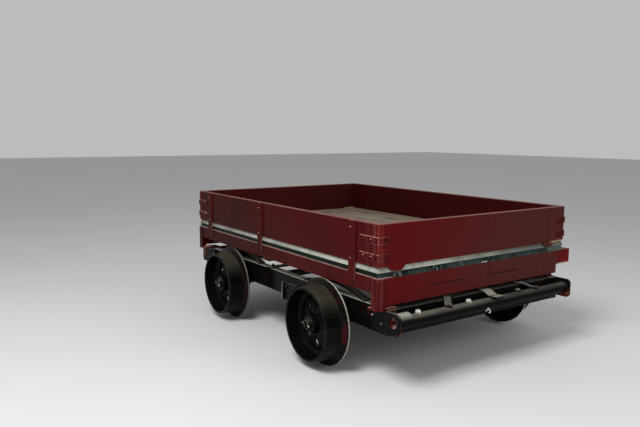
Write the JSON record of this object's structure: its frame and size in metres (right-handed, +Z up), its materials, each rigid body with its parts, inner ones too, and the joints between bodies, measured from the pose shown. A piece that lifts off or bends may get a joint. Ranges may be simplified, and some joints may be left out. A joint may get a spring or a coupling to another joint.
{
  "type": "railway platelayers' hand trolley",
  "caption": "Open flat-bed rail hand trolley with removable board sides, a channel underframe and flanged wheelsets.",
  "frame": {"origin": "midway between the axles on the centre line, level with the lowest points of the wheel flanges", "axes": "+X along the track towards the front end, +Y to the right-hand side with the corner block, +Z up"},
  "size_m": [2.14, 1.604, 0.797],
  "materials": {
    "maroon_paint": "gloss maroon paint on timber",
    "black_paint": "gloss black paint with dust",
    "wheel_paint": "gloss black paint, worn bright on the flange",
    "worn_tube": "worn grey-black paint",
    "axle_steel": "dull oiled steel",
    "cast_iron": "black painted casting",
    "rail_paint": "grey-green paint with worn light edge",
    "floor_wood": "bare worn timber"
  },
  "bodies": {
    "trolley": {"side_frame_left": "black_paint", "side_frame_right": "black_paint", "headstock_front": "black_paint", "headstock_rear": "black_paint", "end_tube_front": "worn_tube", "end_tube_rear": "worn_tube", "end_plate_front_left": "black_paint", "end_plate_front_right": "black_paint", "end_plate_rear_left": "black_paint", "end_plate_rear_right": "black_paint", "axle_bearing_front_left": "cast_iron", "axle_bearing_front_right": "cast_iron", "axle_bearing_rear_left": "cast_iron", "axle_bearing_rear_right": "cast_iron", "spring_front_left": "black_paint", "spring_front_right": "black_paint", "spring_rear_left": "black_paint", "spring_rear_right": "black_paint", "frame_tie": "black_paint", "hanger_left": "black_paint", "hanger_right": "black_paint", "deck_rail": "rail_paint", "floor": "floor_wood", "bearer_front": "floor_wood", "bearer_mid": "floor_wood", "bearer_rear": "floor_wood", "side_skirt_left": "maroon_paint", "side_skirt_right": "maroon_paint", "end_skirt_front": "maroon_paint", "end_skirt_rear": "maroon_paint", "corner_block": "maroon_paint", "corner_foot_front_left": "maroon_paint", "corner_foot_front_right": "maroon_paint", "corner_foot_rear_left": "maroon_paint", "corner_foot_rear_right": "maroon_paint", "end_board_front": "maroon_paint", "end_board_rear": "maroon_paint", "corner_board_front_left": "maroon_paint", "corner_board_front_right": "maroon_paint", "corner_board_rear_left": "maroon_paint", "corner_board_rear_right": "maroon_paint", "side_board_long_left": "maroon_paint", "side_board_long_right": "maroon_paint", "side_board_short_left": "maroon_paint", "side_board_short_right": "maroon_paint"},
    "wheelset_front": {"axle_front": "axle_steel", "wheel_front_left": "wheel_paint", "wheel_front_right": "wheel_paint"},
    "wheelset_rear": {"axle_rear": "axle_steel", "wheel_rear_left": "wheel_paint", "wheel_rear_right": "wheel_paint"}
  },
  "joints": [
    {"name": "front_axle_spin", "type": "hinge", "parent": "trolley", "child": "wheelset_front", "pos_m": [0.522, 0, 0.232], "axis": [0, 1, 0], "continuous": true},
    {"name": "rear_axle_spin", "type": "hinge", "parent": "trolley", "child": "wheelset_rear", "pos_m": [-0.522, 0, 0.232], "axis": [0, 1, 0], "continuous": true}
  ]
}
